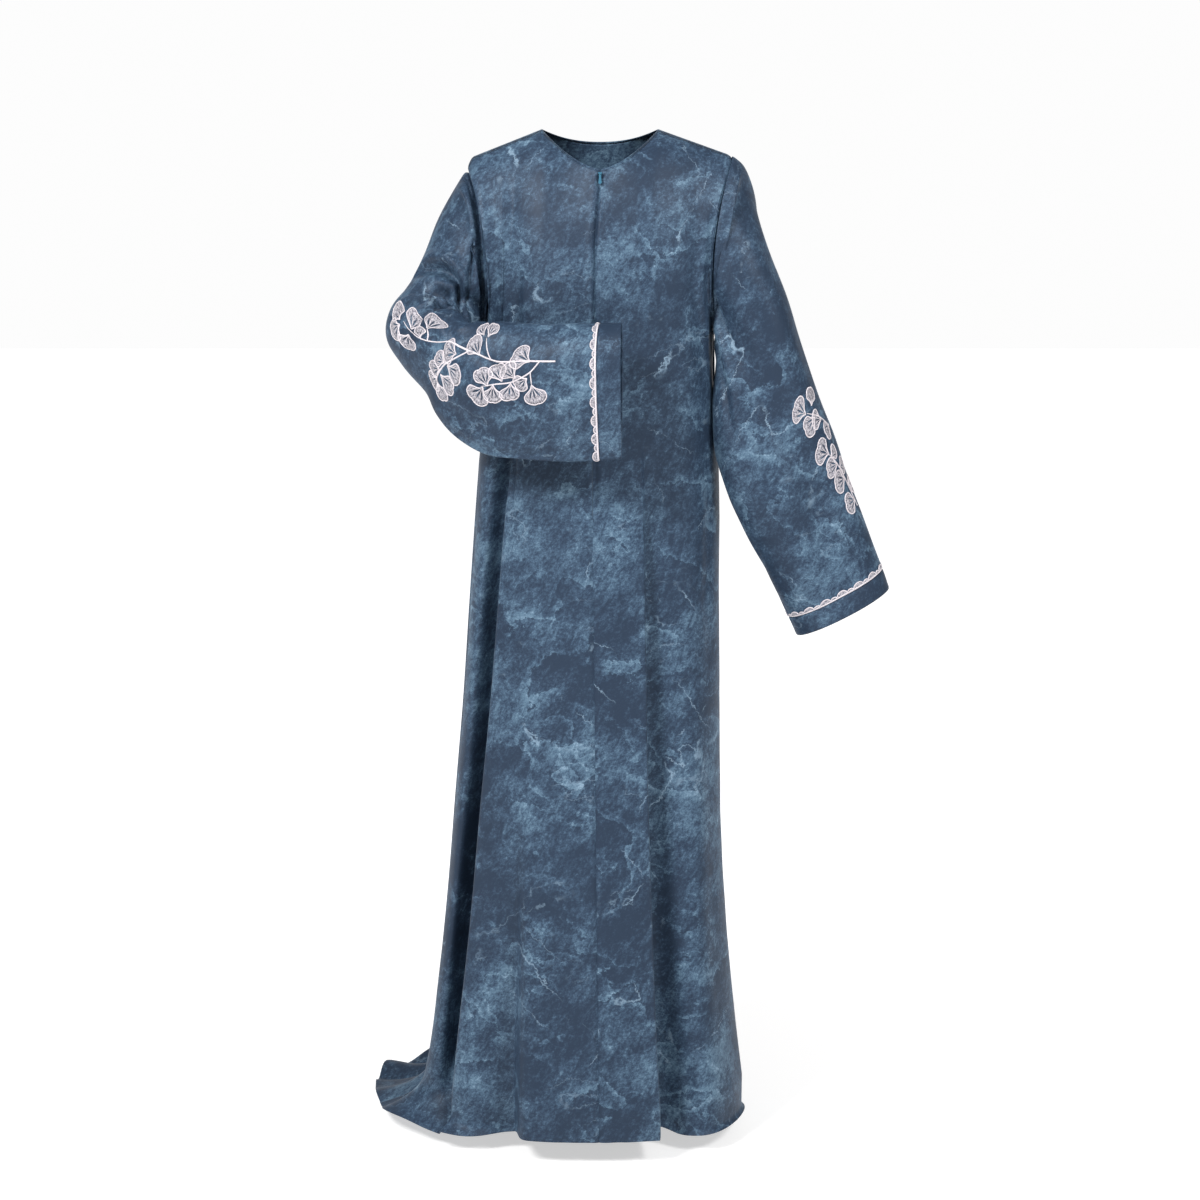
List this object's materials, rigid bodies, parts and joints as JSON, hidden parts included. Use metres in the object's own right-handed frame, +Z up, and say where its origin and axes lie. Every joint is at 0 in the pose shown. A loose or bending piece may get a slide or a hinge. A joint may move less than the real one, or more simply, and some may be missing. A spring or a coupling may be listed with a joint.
{
  "type": "abaya",
  "caption": "Floor-length abaya with a zipped V-neck front, wide banded sleeves and a trailing hem, hollow as worn.",
  "frame": {"origin": "midway between the two neck points of the shoulder seams, where the wearer's shoulders carry the garment", "axes": "+Z up, the front faces -Y, +X to the wearer's left"},
  "size_m": [0.7748, 0.5375, 1.4849],
  "materials": {
    "printed_cloth": "smooth woven cloth with a marbled slate-blue print and a soft sheen",
    "pale_thread": "pale satin-stitched thread",
    "painted_zip": "teal enamel on die-cast metal"
  },
  "bodies": {
    "root": {"front_right_chest": "printed_cloth", "front_right_skirt": "printed_cloth", "front_left_chest": "printed_cloth", "front_left_skirt": "printed_cloth", "back_chest": "printed_cloth", "back_skirt": "printed_cloth", "sleeve_right_upper": "printed_cloth", "sleeve_right_lower": "printed_cloth", "sleeve_left_upper": "printed_cloth", "sleeve_left_lower": "printed_cloth", "cuff_right": "printed_cloth", "cuff_left": "printed_cloth", "trim_right": "pale_thread", "trim_left": "pale_thread", "zip_slider": "painted_zip"},
    "zip_pull": {"zip_pull": "painted_zip"}
  },
  "joints": [
    {"name": "pull_hinge", "type": "hinge", "parent": "root", "child": "zip_pull", "pos_m": [0, -0.09455, -0.06029], "axis": [-1, 0, 0], "range_deg": [0, 150]}
  ]
}
